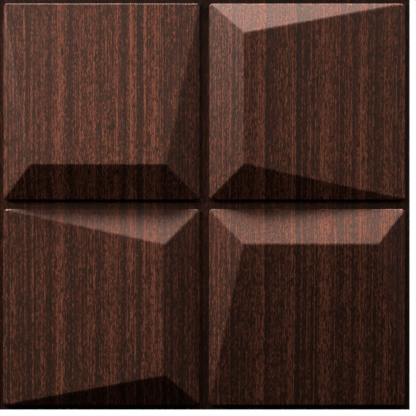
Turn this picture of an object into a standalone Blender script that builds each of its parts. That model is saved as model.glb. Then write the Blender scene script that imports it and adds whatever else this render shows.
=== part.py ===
# Faceted wall panel, carved from one board of dark, straight-grained wood.
#
# Four blocks stand out of the board. A groove in the shape of a cross parts
# them, and half a groove runs all round them, so the pattern goes on from one
# panel to the next. Each block is an off-centre hip roof: a steep face below
# its ridge, a steep triangle at each end of the ridge, and one long shallow
# face. The steep face looks at the panel's middle, and each block is a quarter
# turn on from the one before it.
#
# The panel stands upright, +X to the right and +Z up. Its flat back lies on
# y = 0, its carved front looks towards -Y, and the origin is the back's centre.

import math

import bmesh
import bpy
from mathutils import Matrix, Vector

# Driving sizes, in metres
BLOCK_WIDTH = 0.1432        # one block, along X
BLOCK_HEIGHT = 0.1432       # one block, along Z
GROOVE_WIDTH = 0.0068       # from one block to the next
BACKING_THICKNESS = 0.009   # solid wood behind the grooves
GROOVE_DEPTH = 0.004        # from a block's outer edge down to the groove's floor
WALL_DRAFT = 0.0003         # how far a block's walls lean out on their way down to the floor
RELIEF_HEIGHT = 0.012       # from a block's outer edge up to its ridge
RIDGE_SETBACK = 0.0254      # from the block's near edge in to the ridge
LEVEL_INNER_END = 0.0248    # a level ridge: from the side edge at the cross in to its end
LEVEL_OUTER_END = 0.0204    # the same, from the side edge at the border
UPRIGHT_INNER_END = 0.0258  # an upright ridge: from the edge at the cross in to its end
UPRIGHT_OUTER_END = 0.0221  # the same, from the edge at the border
CREASE_EASING = 0.0009      # how far the rounding reaches on each side of a ridge or hip
EDGE_EASING = 0.0007        # the same, along a block's outer edge
CORNER_EASING = 0.003       # the same, at a block's upright corners
EASING_STEPS = 4            # flats in each rounding

# What follows from the driving sizes
COLUMN_PITCH = BLOCK_WIDTH + GROOVE_WIDTH
ROW_PITCH = BLOCK_HEIGHT + GROOVE_WIDTH
EDGE_LEVEL = BACKING_THICKNESS + GROOVE_DEPTH
RIDGE_LEVEL = EDGE_LEVEL + RELIEF_HEIGHT
ROOT_LEVEL = BACKING_THICKNESS / 2
ROOT_SPREAD = WALL_DRAFT * (EDGE_LEVEL - ROOT_LEVEL) / GROOVE_DEPTH
WIDEST_EASING = max(CREASE_EASING, EDGE_EASING, CORNER_EASING)

# The blocks clockwise from the top left: column and row from the panel's middle,
# and whether the ridge lies level. Each is turned a quarter further clockwise,
# so the ridge's right end becomes the inner end of all four.
PLACES = [
    ("top_left", -1, 1, True),
    ("top_right", 1, 1, False),
    ("bottom_right", 1, -1, True),
    ("bottom_left", -1, -1, False),
]
QUARTER_TURN = math.radians(90)

WOOD_COLOUR = (0.078, 0.027, 0.015, 1.0)
WOOD_ROUGHNESS = 0.37
WOOD_METALLIC = 0.0


def clear_scene():
    for item in list(bpy.data.objects):
        bpy.data.objects.remove(item, do_unlink=True)


def wood_material():
    material = bpy.data.materials.new("dark_wood")
    material.use_nodes = True
    surface = material.node_tree.nodes["Principled BSDF"]
    surface.inputs["Base Color"].default_value = WOOD_COLOUR
    surface.inputs["Roughness"].default_value = WOOD_ROUGHNESS
    surface.inputs["Metallic"].default_value = WOOD_METALLIC
    material.diffuse_color = WOOD_COLOUR
    return material


def place_mesh(name, shape):
    mesh = bpy.data.meshes.new(name)
    shape.to_mesh(mesh)
    shape.free()
    mesh.shade_smooth()
    placed = bpy.data.objects.new(name, mesh)
    bpy.context.scene.collection.objects.link(placed)
    return placed


# The board behind the blocks, cut square on all four sides
def add_backing():
    shape = bmesh.new()
    bmesh.ops.create_cube(shape, size=1.0)
    size = Vector((2 * COLUMN_PITCH, BACKING_THICKNESS, 2 * ROW_PITCH))
    bmesh.ops.scale(shape, vec=size, verts=shape.verts)
    bmesh.ops.translate(shape, vec=(0, -BACKING_THICKNESS / 2, 0), verts=shape.verts)
    backing = place_mesh("carved_panel", shape)
    backing.data.set_sharp_from_angle(angle=QUARTER_TURN / 2)
    backing.data.materials.append(wood_material())
    return backing


# One block before it is turned, as it stands at the top left: its ridge along X,
# its near edge at the bottom and the panel's middle at the lower right. Its root
# is in the middle of the backing, to be one wood with it, and is wider than its
# rim by as much as its walls lean out.
def block_shape(along, across, inner_end, outer_end):
    shape = bmesh.new()
    end = along / 2
    side = across / 2
    corners = [(-1, -1), (1, -1), (1, 1), (-1, 1)]
    root = [shape.verts.new((x * (end + ROOT_SPREAD), -ROOT_LEVEL, z * (side + ROOT_SPREAD)))
            for x, z in corners]
    rim = [shape.verts.new((x * end, -EDGE_LEVEL, z * side)) for x, z in corners]
    ridge_z = RIDGE_SETBACK - side
    outer = shape.verts.new((outer_end - end, -RIDGE_LEVEL, ridge_z))
    inner = shape.verts.new((end - inner_end, -RIDGE_LEVEL, ridge_z))

    shape.faces.new((root[3], root[2], root[1], root[0]))
    for here, after in zip(range(4), (1, 2, 3, 0)):
        shape.faces.new((root[here], root[after], rim[after], rim[here]))
    shape.faces.new((rim[0], rim[1], inner, outer))   # steep, below the ridge
    shape.faces.new((rim[1], rim[2], inner))          # steep, at the ridge's inner end
    shape.faces.new((rim[2], rim[3], outer, inner))   # long and shallow
    shape.faces.new((rim[3], rim[0], outer))          # steep, at the ridge's outer end
    bmesh.ops.recalc_face_normals(shape, faces=shape.faces)

    share = shape.edges.layers.float.new("bevel_weight_edge")
    for edge in shape.edges:
        ends = set(edge.verts)
        if ends & {inner, outer}:
            edge[share] = CREASE_EASING / WIDEST_EASING
        elif ends <= set(rim):
            edge[share] = EDGE_EASING / WIDEST_EASING
        elif ends & set(rim):
            edge[share] = CORNER_EASING / WIDEST_EASING
    return shape


def add_block(name, sizes, turn):
    shape = block_shape(*sizes)
    bmesh.ops.rotate(shape, matrix=Matrix.Rotation(turn, 3, "Y"), verts=shape.verts)
    block = place_mesh(name, shape)
    easing = block.modifiers.new("easing", "BEVEL")
    easing.limit_method = "WEIGHT"
    easing.width = WIDEST_EASING
    easing.segments = EASING_STEPS
    easing.harden_normals = True
    block.display_type = "WIRE"
    block.hide_render = True
    return block


def build_panel():
    panel = add_backing()
    for turns, (place, column, row, level) in enumerate(PLACES):
        if level:
            sizes = (BLOCK_WIDTH, BLOCK_HEIGHT, LEVEL_INNER_END, LEVEL_OUTER_END)
        else:
            sizes = (BLOCK_HEIGHT, BLOCK_WIDTH, UPRIGHT_INNER_END, UPRIGHT_OUTER_END)
        block = add_block("block_" + place, sizes, turns * QUARTER_TURN)
        block.location = (column * COLUMN_PITCH / 2, 0, row * ROW_PITCH / 2)
        join = panel.modifiers.new("one_wood_" + place, "BOOLEAN")
        join.operation = "UNION"
        join.object = block


clear_scene()
build_panel()
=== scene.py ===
import math

import bmesh
import bpy
from mathutils import Matrix, Vector


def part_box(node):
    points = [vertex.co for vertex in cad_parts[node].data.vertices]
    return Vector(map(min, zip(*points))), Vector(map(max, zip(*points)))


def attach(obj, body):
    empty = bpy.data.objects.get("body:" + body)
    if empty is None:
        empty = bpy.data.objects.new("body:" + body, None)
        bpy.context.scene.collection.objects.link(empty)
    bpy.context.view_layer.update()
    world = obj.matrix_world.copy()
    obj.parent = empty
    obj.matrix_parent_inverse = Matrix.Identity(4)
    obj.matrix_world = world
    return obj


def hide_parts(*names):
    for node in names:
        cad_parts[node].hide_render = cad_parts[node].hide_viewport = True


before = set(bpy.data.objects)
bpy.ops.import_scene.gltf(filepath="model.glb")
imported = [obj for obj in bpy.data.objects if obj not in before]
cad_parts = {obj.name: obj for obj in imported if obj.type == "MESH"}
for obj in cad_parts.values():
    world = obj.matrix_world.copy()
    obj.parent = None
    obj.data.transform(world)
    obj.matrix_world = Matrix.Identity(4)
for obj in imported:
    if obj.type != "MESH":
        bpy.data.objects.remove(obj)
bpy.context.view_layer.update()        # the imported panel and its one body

# metres throughout; the wood's figure alone is given in millimetres
panelLow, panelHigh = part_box("carved_panel")
panelWidth = panelHigh.x - panelLow.x
panelHeight = panelHigh.z - panelLow.z
millimetres = 1000.0
print("frame loaded, panel", round(panelWidth, 4), "by", round(panelHeight, 4))


class Wire:
    # one output socket, so that shader maths reads as plain Python
    tree = None

    def __init__(self, socket):
        self.socket = socket

    @classmethod
    def add(cls, nodeType, settings=None, inputs=None, output=0):
        node = cls.tree.nodes.new(nodeType)
        for name, value in (settings or {}).items():
            if name == "stops":
                cls.fillRamp(node.color_ramp, value)
            elif name == "rampMode":
                node.color_ramp.interpolation = value
            else:
                setattr(node, name, value)
        for name, value in (inputs or {}).items():
            if isinstance(value, Wire):
                cls.tree.links.new(value.socket, node.inputs[name])
            else:
                node.inputs[name].default_value = value
        return cls(node.outputs[output])

    @staticmethod
    def fillRamp(ramp, stops):
        while len(ramp.elements) < len(stops):
            ramp.elements.new(1.0)
        for element, (position, colour) in zip(ramp.elements, sorted(stops)):
            element.position = position
            element.color = colour

    @classmethod
    def maths(cls, operation, first, second=0.0):
        return cls.add("ShaderNodeMath", {"operation": operation}, {0: first, 1: second})

    def __add__(self, other):
        return Wire.maths("ADD", self, other)

    def __radd__(self, other):
        return Wire.maths("ADD", other, self)

    def __sub__(self, other):
        return Wire.maths("SUBTRACT", self, other)

    def __rsub__(self, other):
        return Wire.maths("SUBTRACT", other, self)

    def __mul__(self, other):
        return Wire.maths("MULTIPLY", self, other)

    def __rmul__(self, other):
        return Wire.maths("MULTIPLY", other, self)

    def between(self, low, high):
        # 0 at low, 1 at high, eased at both ends
        settings = {"interpolation_type": "SMOOTHSTEP"}
        inputs = {"Value": self, "From Min": low, "From Max": high, "To Min": 0.0, "To Max": 1.0}
        return Wire.add("ShaderNodeMapRange", settings, inputs)

    def feed(self, node, socketName):
        Wire.tree.links.new(self.socket, node.inputs[socketName])


def startMaterial(name):
    material = bpy.data.materials.new(name)
    material.use_nodes = True
    Wire.tree = material.node_tree
    surface = material.node_tree.nodes["Principled BSDF"]
    return material, surface


# the board's carving, to the same sizes as the solid but with finer roundings
carving = {
    "grooveWidth": 0.0068,
    "backingThickness": 0.009,
    "grooveDepth": 0.004,
    "wallDraft": 0.0003,                # how far a block's walls lean out down to the groove's floor
    "reliefHeight": 0.0119,             # from a block's rim up to its ridge
    "ridgeSetback": 0.0254,             # from a block's near edge in to its ridge
    "levelEnds": (0.0248, 0.0204),      # a level ridge's setbacks, at the cross and at the border
    "uprightEnds": (0.0258, 0.0221),    # the same for an upright ridge
    "creaseEasing": 0.0009,             # reach of the rounding on each side of a ridge or hip
    "edgeEasing": 0.0008,               # the same, along a block's rim
    "cornerEasing": 0.003,              # the same, at a block's upright corners
    "easingSteps": 8,
    "crispAngle": 50.0,                 # edges sharper than this, in degrees, stay crisp
}


def blockCorners(column, row):
    # the block's four rim corners, then its ridge's inner and outer end, as (x, z)
    near = carving["grooveWidth"] / 2
    farX = panelWidth / 2 - near
    farZ = panelHeight / 2 - near
    ridgeLine = near + carving["ridgeSetback"]
    rim = [(near, near), (farX, near), (farX, farZ), (near, farZ)]
    if column * row < 0:      # top left and bottom right: the ridge lies level
        atCross, atBorder = carving["levelEnds"]
        ridge = [(near + atCross, ridgeLine), (farX - atBorder, ridgeLine)]
    else:                     # top right and bottom left: the ridge stands upright
        atCross, atBorder = carving["uprightEnds"]
        ridge = [(ridgeLine, near + atCross), (ridgeLine, farZ - atBorder)]
    return [(x * column, z * row) for x, z in rim + ridge]


def roofFaces(rim, inner, outer, level):
    # one face up from each edge of the rim: two run along the ridge, and two close its ends
    crossCorner, sideCorner, farCorner, uprightCorner = rim
    if level:
        return [(crossCorner, sideCorner, outer, inner), (sideCorner, farCorner, outer),
                (farCorner, uprightCorner, inner, outer), (uprightCorner, crossCorner, inner)]
    return [(crossCorner, sideCorner, inner), (sideCorner, farCorner, outer, inner),
            (farCorner, uprightCorner, outer), (uprightCorner, crossCorner, inner, outer)]


def shapeBoard():
    shape = bmesh.new()
    bmesh.ops.create_cube(shape, size=1.0)
    thick = carving["backingThickness"]
    bmesh.ops.scale(shape, vec=(panelWidth, thick, panelHeight), verts=shape.verts)
    bmesh.ops.translate(shape, vec=(0, -thick / 2, 0), verts=shape.verts)
    return shape


def shapeBlock(column, row):
    # its root is inside the board, and wider than its rim by as much as the walls lean out
    shape = bmesh.new()
    rimY = -carving["backingThickness"] - carving["grooveDepth"]
    rootY = -carving["backingThickness"] / 2
    spread = carving["wallDraft"] * (rootY - rimY) / carving["grooveDepth"]
    places = blockCorners(column, row)
    middleX = (places[0][0] + places[2][0]) / 2
    middleZ = (places[0][1] + places[2][1]) / 2
    root = [shape.verts.new((x + math.copysign(spread, x - middleX), rootY,
                             z + math.copysign(spread, z - middleZ))) for x, z in places[:4]]
    rim = [shape.verts.new((x, rimY, z)) for x, z in places[:4]]
    inner, outer = [shape.verts.new((x, rimY - carving["reliefHeight"], z))
                    for x, z in places[4:]]

    shape.faces.new(root)
    for here, after in zip(range(4), (1, 2, 3, 0)):
        shape.faces.new((root[here], root[after], rim[after], rim[here]))
    for corners in roofFaces(rim, inner, outer, column * row < 0):
        shape.faces.new(corners)
    bmesh.ops.recalc_face_normals(shape, faces=shape.faces)

    share = shape.edges.layers.float.new("bevel_weight_edge")
    for edge in shape.edges:
        ends = set(edge.verts)
        if ends & {inner, outer}:
            edge[share] = carving["creaseEasing"] / carving["cornerEasing"]
        elif ends <= set(rim):
            edge[share] = carving["edgeEasing"] / carving["cornerEasing"]
        elif ends & set(rim):
            edge[share] = 1.0
    return shape


def placeShape(name, shape):
    mesh = bpy.data.meshes.new(name)
    shape.to_mesh(mesh)
    shape.free()
    placed = bpy.data.objects.new(name, mesh)
    bpy.context.scene.collection.objects.link(placed)
    return placed


def makePanel(material):
    panel = placeShape("woodPanel", shapeBoard())
    blocks = []
    for column, row in ((-1, 1), (1, 1), (1, -1), (-1, -1)):
        block = placeShape("block", shapeBlock(column, row))
        easing = block.modifiers.new("easing", "BEVEL")
        easing.limit_method = "WEIGHT"
        easing.width = carving["cornerEasing"]
        easing.segments = carving["easingSteps"]
        union = panel.modifiers.new("oneWood", "BOOLEAN")
        union.operation = "UNION"
        union.object = block
        blocks.append(block)

    # keep the joined wood and drop the blocks that it was joined from
    bpy.context.view_layer.update()
    joined = panel.evaluated_get(bpy.context.evaluated_depsgraph_get())
    panel.modifiers.clear()
    panel.data = bpy.data.meshes.new_from_object(joined)
    for block in blocks:
        bpy.data.objects.remove(block)

    panel.data.materials.clear()
    panel.data.materials.append(material)
    panel.data.shade_smooth()
    panel.data.set_sharp_from_angle(angle=math.radians(carving["crispAngle"]))
    flats = panel.modifiers.new("flatFaces", "WEIGHTED_NORMAL")
    flats.keep_sharp = True
    flats.weight = 100        # the large faces alone decide, so they shade flat
    return panel


# the wood's figure, in millimetres
wood = {
    # each streak's middle from the panel's left edge, its width, and its darkness, in which
    # 0 is the palest wood and 1 the darkest
    "streaks": [
        (6.8, 1.5, 0.8), (15.9, 1.6, 0.55), (20.7, 1.8, 0.85), (37.2, 2.2, 0.65),
        (44.1, 5.8, 0.1), (48.9, 2.2, 0.6), (51.8, 3.4, 1.0), (54.6, 1.8, 0.6),
        (67.9, 6.0, 0.15), (73.8, 2.4, 0.85), (84.1, 6.0, 0.15), (91.4, 3.6, 0.95),
        (97.0, 2.8, 0.05), (102.4, 3.8, 0.95), (107.1, 2.6, 0.1), (114.8, 7.6, 0.15),
        (121.0, 2.8, 0.65), (133.1, 2.8, 0.75), (171.2, 3.0, 0.75), (176.6, 1.8, 0.1),
        (191.0, 6.4, 0.1), (196.1, 3.6, 0.85), (200.5, 1.8, 0.6), (211.9, 5.6, 0.15),
        (218.7, 3.4, 0.95), (226.2, 2.2, 0.15), (229.2, 2.2, 0.8), (239.3, 10.8, 0.2),
        (250.3, 3.6, 0.9), (258.8, 4.0, 0.55), (265.3, 5.8, 0.1), (269.7, 1.4, 0.7),
        (274.9, 2.8, 0.7), (291.3, 1.2, 0.65),
    ],
    "plainWood": 0.35,                  # darkness between the streaks
    "streaksPerRamp": 7,                # few enough for a ramp to keep their edges in place
    "sway": 0.4,                        # the grain's wander sideways
    "swayCell": (70, 60, 110),          # one wander's size: across, into the board and along
    "fanning": 0.00004,                 # how the streaks draw together on their way down
    "fanMiddle": (-75, 75),             # the x and the z at which they stand as listed

    # smooth layers: one cell's size across the grain, into the board and along the grain
    "broadCell": (16, 30, 300),
    "bandCell": (2.4, 12, 160),
    # layers of fibres: the same, but the first size is a number of fibre widths
    "fibreWidth": 0.5,
    "fibreJump": 7.31,                  # from one fibre's tones to the next one's
    "raggedCell": (1.0, 6, 9),
    "raggedness": 0.35,                 # how far the fibres blur the streaks' edges
    "lineCell": (1.3, 30, 300),
    "ribbonCell": (1.0, 8, 14),
    "dashCell": (0.9, 2.1, 2.1),
    "poreCell": (1.1, 3.0, 5.0),
    "poreTones": (0.11, 0.16),          # a fibre turns into a pore from the first to the second

    # how much each of them counts in the wood's shade
    "evenShade": -0.03,                 # added everywhere
    "paintedEndShade": 0.3,                    # painted shade: how much darker the colour gets towards the top and bottom, standing in for light that falls off there
    "paintedGrooveShade": 0.6,                 # painted shade: how much darker the colour is down in the grooves, where shade falls
    "paintedGrooveShadeReach": (0.6, 1.6),          # how far below the rims that painted shade starts, and is all there
    "streakShade": 1.95,
    "broadShade": 0.5,
    "bandShade": 0.5,
    "lineShade": 3.3,
    "ribbonShade": 2.2,
    "dashShade": 3.4,
    "dashInStreaks": 3.0,               # more of it where the streaks are dark
    "poreShade": 1.8,

    # shade, then the wood's colour at it, from its darkest to its palest
    "tones": [
        (-2.0, (0.0090, 0.0032, 0.0012, 1.0)),
        (-1.4, (0.0164, 0.0056, 0.0023, 1.0)),
        (-0.8, (0.0308, 0.0099, 0.0045, 1.0)),
        (-0.35, (0.0479, 0.0148, 0.0074, 1.0)),
        (0.0, (0.0690, 0.0207, 0.0107, 1.0)),
        (0.35, (0.0980, 0.0294, 0.0160, 1.0)),
        (0.8, (0.1430, 0.0452, 0.0262, 1.0)),
        (1.3, (0.1920, 0.0645, 0.0395, 1.0)),
    ],

    # satin lacquer over the open grain
    "roughness": 0.36,
    "palerIsSmoother": 0.06,            # roughness lost for each step of shade
    "glossLevel": 0.6,
    "glossTint": (1.0, 0.66, 0.575, 1.0),
    "dashRise": 0.9,
    "poreDip": 0.6,
    "bumpStrength": 0.35,
    "bumpDistance": 0.0002,             # in metres
}


def streakMask(across):
    # the wood's darkness by its streaks, at so many millimetres from the left edge
    streaks = wood["streaks"]
    plain = wood["plainWood"]
    plainGrey = (plain, plain, plain, 1.0)
    mask = plain
    for first in range(0, len(streaks), wood["streaksPerRamp"]):
        group = streaks[first:first + wood["streaksPerRamp"]]
        start = group[0][0] - group[0][1]
        span = group[-1][0] + group[-1][1] - start
        stops = [(0.0, plainGrey)]
        for middle, width, darkness in group:
            grey = (darkness, darkness, darkness, 1.0)
            stops.append(((middle - width / 2 - start) / span, grey))
            stops.append(((middle + width / 2 - start) / span, plainGrey))
        settings = {"stops": stops, "rampMode": "CONSTANT"}
        ramp = Wire.add("ShaderNodeValToRGB", settings, {"Fac": (across - start) * (1 / span)})
        mask = mask + (ramp - plain)
    return mask


def grainNoise(place, across, deep, along):
    # noise drawn out along the grain, from -0.5 to 0.5; one cell's sizes are in millimetres
    x, y, z = place
    vector = Wire.add("ShaderNodeCombineXYZ", None,
                      {"X": x * (1 / across), "Y": y * (1 / deep), "Z": z * (1 / along)})
    inputs = {"Vector": vector, "Scale": 1.0, "Detail": 0.0}
    return Wire.add("ShaderNodeTexNoise", {"noise_dimensions": "3D"}, inputs) - 0.5


def fibreTone(place, fibres, deep, along):
    # each fibre has its own tone, from -0.5 to 0.5, that changes only on the fibre's way up
    x, y, z = place
    fibre = Wire.maths("FLOOR", x * (1 / (wood["fibreWidth"] * fibres)))
    return grainNoise((fibre * wood["fibreJump"], y, z), 1.0, deep, along)


def woodFigure(x, y, z):
    # the wood's shade, 0 at its middle tone and less where it is dark, with painted shade towards
    # the top and bottom and down in the grooves, and its surface's height
    fanX, fanZ = wood["fanMiddle"]
    fan = (x - fanX) * (fanZ - z) * wood["fanning"]
    swayed = x + grainNoise((x, y, z), *wood["swayCell"]) * wood["sway"] + fan
    place = (swayed, y, z)
    ragged = fibreTone(place, *wood["raggedCell"]) * wood["raggedness"]
    streaks = streakMask(swayed + ragged + panelWidth * millimetres / 2)

    broad = grainNoise(place, *wood["broadCell"])
    bands = grainNoise(place, *wood["bandCell"])
    lines = fibreTone(place, *wood["lineCell"])
    ribbons = fibreTone(place, *wood["ribbonCell"])
    dashes = fibreTone(place, *wood["dashCell"])
    pores = fibreTone(place, *wood["poreCell"]).between(*wood["poreTones"])

    # painted shade: the colour darkens towards the top and bottom, standing in for light that falls
    # off there
    towardsEnd = z * (2 / (panelHeight * millimetres))      # 1 and -1 at the two ends
    # painted shade: the colour darkens down in the grooves, where shade falls
    rimLevel = -(carving["backingThickness"] + carving["grooveDepth"]) * millimetres
    reachStart, reachEnd = wood["paintedGrooveShadeReach"]
    paintedGrooveShadeMask = y.between(rimLevel + reachStart, rimLevel + reachEnd)
    shade = (wood["evenShade"] - towardsEnd * towardsEnd * wood["paintedEndShade"]
             - paintedGrooveShadeMask * wood["paintedGrooveShade"]
             - (streaks - wood["plainWood"]) * wood["streakShade"]
             + broad * wood["broadShade"] + bands * wood["bandShade"]
             + lines * wood["lineShade"] + ribbons * wood["ribbonShade"]
             + dashes * (wood["dashShade"] + streaks * wood["dashInStreaks"])
             - pores * wood["poreShade"])
    height = dashes * wood["dashRise"] - pores * wood["poreDip"]
    return shade, height


def darkWood():
    material, surface = startMaterial("darkWood")
    coordinates = Wire.add("ShaderNodeTexCoord", output="Object")
    axes = Wire.add("ShaderNodeSeparateXYZ", None, {"Vector": coordinates}).socket.node.outputs
    shade, height = woodFigure(*[Wire(axis) * millimetres for axis in axes])

    darkest = wood["tones"][0][0]
    span = wood["tones"][-1][0] - darkest
    stops = [((tone - darkest) / span, colour) for tone, colour in wood["tones"]]
    toneInputs = {"Fac": (shade - darkest) * (1 / span)}
    Wire.add("ShaderNodeValToRGB", {"stops": stops}, toneInputs).feed(surface, "Base Color")
    (wood["roughness"] - shade * wood["palerIsSmoother"]).feed(surface, "Roughness")
    surface.inputs["Specular Tint"].default_value = wood["glossTint"]
    surface.inputs["Specular IOR Level"].default_value = wood["glossLevel"]
    bumpInputs = {"Strength": wood["bumpStrength"], "Distance": wood["bumpDistance"],
                  "Height": height}
    Wire.add("ShaderNodeBump", None, bumpInputs).feed(surface, "Normal")
    return material


# soft studio light, mostly raking down over the front from above
studio = {
    # rise from the front's plane and turn left of upright in degrees, then the distance, the
    # width by depth in metres, and the watts
    "lights": {
        "main": ((8.5, 22.0), 2.4, (0.8, 0.4), 106.6),
        "high": ((12.0, 8.0), 2.4, (0.8, 0.4), 52.3),
        "low": ((4.0, -10.0), 2.4, (0.8, 0.4), 43.2),
        "left": ((27.0, 60.0), 0.8, (0.25, 0.25), 3.0),
        "right": ((5.5, -70.0), 1.05, (0.35, 0.2), 1.42),
        "fill": ((42.0, -50.0), 0.8, (0.25, 0.25), 0.7),
        "edge": ((54.0, 39.0), 0.8, (0.1, 0.1), 0.35),
    },
    "rearPlace": (0.7, 1.6, 0.3),       # lights the panel's back
    "rearSize": (1.4, 1.4),
    "rearPower": 30.0,
    "roomGlow": 0.0135,                 # what the room adds; the camera sees it as white
    "flagGap": 0.003,
    "flagThickness": 0.001,
    "flagRise": 0.0004,                 # how far the flags stand above the blocks' rims
    "flagColour": (0.02, 0.02, 0.02, 1.0),
    "floorLevel": -0.95,
    "floorReach": 12.0,
    "paper": (0.90, 0.89, 0.87, 1.0),
    "paperGlow": 0.8,
    "mattRoughness": 0.9,
    "cameraLens": 300.0,
    "cameraDistance": 2.5295,
    "cameraOffset": 0.00263,            # right and down, for the margin on those two sides
    "cameraReach": 100.0,
}


def addLight(name, place, size, power, width=None):
    # aimed at the panel's front; its width lies along the given direction, or else level
    towards = -Vector(place).normalized()
    side = Vector((1, 0, 0)) if width is None else width
    side = (side - towards * side.dot(towards)).normalized()
    turned = Matrix((side, side.cross(towards), -towards)).transposed()
    data = bpy.data.lights.new(name, "AREA")
    data.shape = "RECTANGLE"
    data.size, data.size_y = size
    data.energy = power
    light = bpy.data.objects.new(name, data)
    light.matrix_world = Matrix.Translation(place) @ turned.to_4x4()
    light.visible_camera = False
    bpy.context.scene.collection.objects.link(light)


def raking(angles, distance):
    # a place above the front's plane by the first angle, turned left of upright by the second
    rise, turn = [math.radians(angle) for angle in angles]
    return Vector((-math.sin(turn) * math.cos(rise), -math.sin(rise),
                   math.cos(turn) * math.cos(rise))) * distance


def lightStudio():
    for name, (angles, distance, size, power) in studio["lights"].items():
        place = raking(angles, distance)
        width = Vector((0, -1, 0)).cross(place)      # in the front's plane
        place.y -= carving["backingThickness"] + carving["grooveDepth"]
        addLight(name + "Light", place, size, power, width)
    addLight("rearLight", studio["rearPlace"], studio["rearSize"], studio["rearPower"])

    world = bpy.data.worlds.new("paleRoom")
    bpy.context.scene.world = world
    world.use_nodes = True
    Wire.tree = world.node_tree
    seen = Wire.add("ShaderNodeLightPath", output="Is Camera Ray")
    background = world.node_tree.nodes["Background"]
    background.inputs["Color"].default_value = (1.0, 1.0, 1.0, 1.0)
    (seen * (1 - studio["roomGlow"]) + studio["roomGlow"]).feed(background, "Strength")


def placeFlags():
    # thin boards just outside the panel, as high as the blocks' rims: they keep the raking
    # light off the half grooves at the border, as the next panels on a wall do
    material, surface = startMaterial("flagBlack")
    surface.inputs["Base Color"].default_value = studio["flagColour"]
    surface.inputs["Roughness"].default_value = studio["mattRoughness"]
    gap, thick = studio["flagGap"], studio["flagThickness"]
    backY = -carving["backingThickness"]
    frontY = backY - carving["grooveDepth"] - studio["flagRise"]
    depth = backY - frontY
    acrossX = panelWidth / 2 + gap + thick / 2
    acrossZ = panelHeight / 2 + gap + thick / 2
    for x, z in ((-acrossX, 0), (acrossX, 0), (0, -acrossZ), (0, acrossZ)):
        shape = bmesh.new()
        bmesh.ops.create_cube(shape, size=1.0)
        size = (thick, depth, 2 * acrossZ) if x else (2 * acrossX, depth, thick)
        bmesh.ops.scale(shape, vec=size, verts=shape.verts)
        flag = placeShape("flag", shape)
        flag.location = (x, (backY + frontY) / 2, z)
        flag.data.materials.append(material)
        flag.visible_camera = False


def layFloor():
    shape = bmesh.new()
    bmesh.ops.create_grid(shape, x_segments=1, y_segments=1, size=studio["floorReach"])
    floor = placeShape("paleFloor", shape)
    floor.location.z = studio["floorLevel"]
    material, surface = startMaterial("palePaper")
    surface.inputs["Base Color"].default_value = studio["paper"]
    surface.inputs["Roughness"].default_value = studio["mattRoughness"]
    surface.inputs["Emission Color"].default_value = studio["paper"]
    surface.inputs["Emission Strength"].default_value = studio["paperGlow"]
    floor.data.materials.append(material)
    floor.visible_diffuse = False
    floor.visible_glossy = False


def placeCamera():
    # square on, looking along +Y
    data = bpy.data.cameras.new("camera")
    data.lens = studio["cameraLens"]
    data.clip_end = studio["cameraReach"]
    camera = bpy.data.objects.new("camera", data)
    rimLevel = carving["backingThickness"] + carving["grooveDepth"]
    camera.location = (studio["cameraOffset"], -rimLevel - studio["cameraDistance"],
                       -studio["cameraOffset"])
    camera.rotation_euler = (math.radians(90), 0.0, 0.0)
    bpy.context.scene.collection.objects.link(camera)
    bpy.context.scene.camera = camera


figuredWood = darkWood()
print("wood figured")

panel = makePanel(figuredWood)
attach(panel, "root")
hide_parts("carved_panel")
print("panel carved")

placeCamera()
lightStudio()
placeFlags()
layFloor()
bpy.context.scene.view_settings.view_transform = "Standard"
print("studio set")
